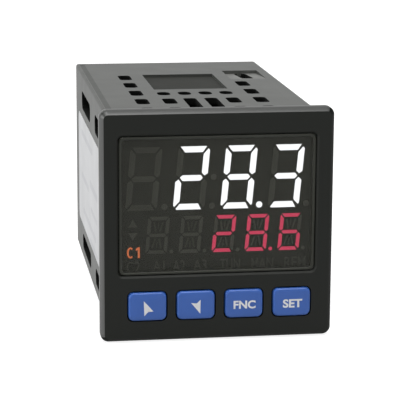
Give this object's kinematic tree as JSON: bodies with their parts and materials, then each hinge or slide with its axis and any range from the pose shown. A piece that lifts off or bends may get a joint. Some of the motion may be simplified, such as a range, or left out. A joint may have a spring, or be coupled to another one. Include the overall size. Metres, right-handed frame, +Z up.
{
  "type": "pid temperature controller",
  "caption": "Square panel-mount temperature controller: dark bezel with a large digital display over blue push keys, vented square case behind, screw terminals at the rear.",
  "frame": {"origin": "centre of the panel cut-out, in the plane of the panel's front surface", "axes": "+X to the right of someone facing the front, +Y into the panel towards the terminals, +Z up"},
  "size_m": [0.048, 0.0834, 0.048],
  "materials": {
    "case_plastic": "fine moulded texture, dark grey",
    "bezel_plastic": "fine moulded texture, near black",
    "smoked_pane": "polished smoked acrylic",
    "display_black": "flat black display face",
    "segment_white_lit": "white diffuser, lit",
    "segment_red_lit": "red diffuser, lit",
    "segment_unlit": "diffuser, unlit",
    "key_blue": "satin blue moulding",
    "gasket_rubber": "flat black rubber",
    "label_film": "satin pale film",
    "board_green": "solder mask over glass laminate",
    "header_black": "moulded connector",
    "switch_black": "moulded switch housing",
    "stem_white": "moulded stem",
    "core_steel": "varnished laminations",
    "coil_tape": "yellow tape over the winding",
    "capacitor_sleeve": "shrunk sleeve",
    "relay_plastic": "sealed relay case",
    "chip_epoxy": "moulded package",
    "terminal_plastic": "moulded terminal block",
    "contact_metal": "plated clamp"
  },
  "bodies": {
    "housing": {"bezel": "bezel_plastic", "window_lens": "smoked_pane", "panel_gasket": "gasket_rubber", "case": "case_plastic", "side_label": "label_film", "display_reflector": "display_black", "upper_segments_lit": "segment_white_lit", "upper_segments_unlit": "segment_unlit", "lower_segments_lit": "segment_red_lit", "lower_segments_unlit": "segment_unlit", "arrow_segments": "segment_unlit", "display_board": "board_green", "power_board": "board_green", "control_board": "board_green", "rear_board": "board_green", "power_front_header": "header_black", "power_rear_header": "header_black", "control_front_header": "header_black", "control_rear_header": "header_black", "transformer_core": "core_steel", "transformer_coil": "coil_tape", "input_capacitor": "capacitor_sleeve", "output_capacitor": "capacitor_sleeve", "relay_1": "relay_plastic", "relay_2": "relay_plastic", "microcontroller": "chip_epoxy", "optocoupler_1": "chip_epoxy", "optocoupler_2": "chip_epoxy", "terminal_block_1": "terminal_plastic", "terminal_block_2": "terminal_plastic", "terminal_block_3": "terminal_plastic", "terminal_block_4": "terminal_plastic", "terminal_contacts": "contact_metal", "switch_body_up": "switch_black", "switch_body_down": "switch_black", "switch_body_function": "switch_black", "switch_body_set": "switch_black"},
    "key_up_body": {"key_up": "key_blue", "switch_stem_up": "stem_white"},
    "key_down_body": {"key_down": "key_blue", "switch_stem_down": "stem_white"},
    "key_function_body": {"key_function": "key_blue", "switch_stem_function": "stem_white"},
    "key_set_body": {"key_set": "key_blue", "switch_stem_set": "stem_white"}
  },
  "joints": [
    {"name": "key_up_press", "type": "slide", "parent": "housing", "child": "key_up_body", "axis": [0, 1, 0], "range_m": [0, 0.0005], "stiffness_N_per_m": 400, "springref_m": -0.001},
    {"name": "key_down_press", "type": "slide", "parent": "housing", "child": "key_down_body", "axis": [0, 1, 0], "range_m": [0, 0.0005], "stiffness_N_per_m": 400, "springref_m": -0.001},
    {"name": "key_function_press", "type": "slide", "parent": "housing", "child": "key_function_body", "axis": [0, 1, 0], "range_m": [0, 0.0005], "stiffness_N_per_m": 400, "springref_m": -0.001},
    {"name": "key_set_press", "type": "slide", "parent": "housing", "child": "key_set_body", "axis": [0, 1, 0], "range_m": [0, 0.0005], "stiffness_N_per_m": 400, "springref_m": -0.001}
  ]
}
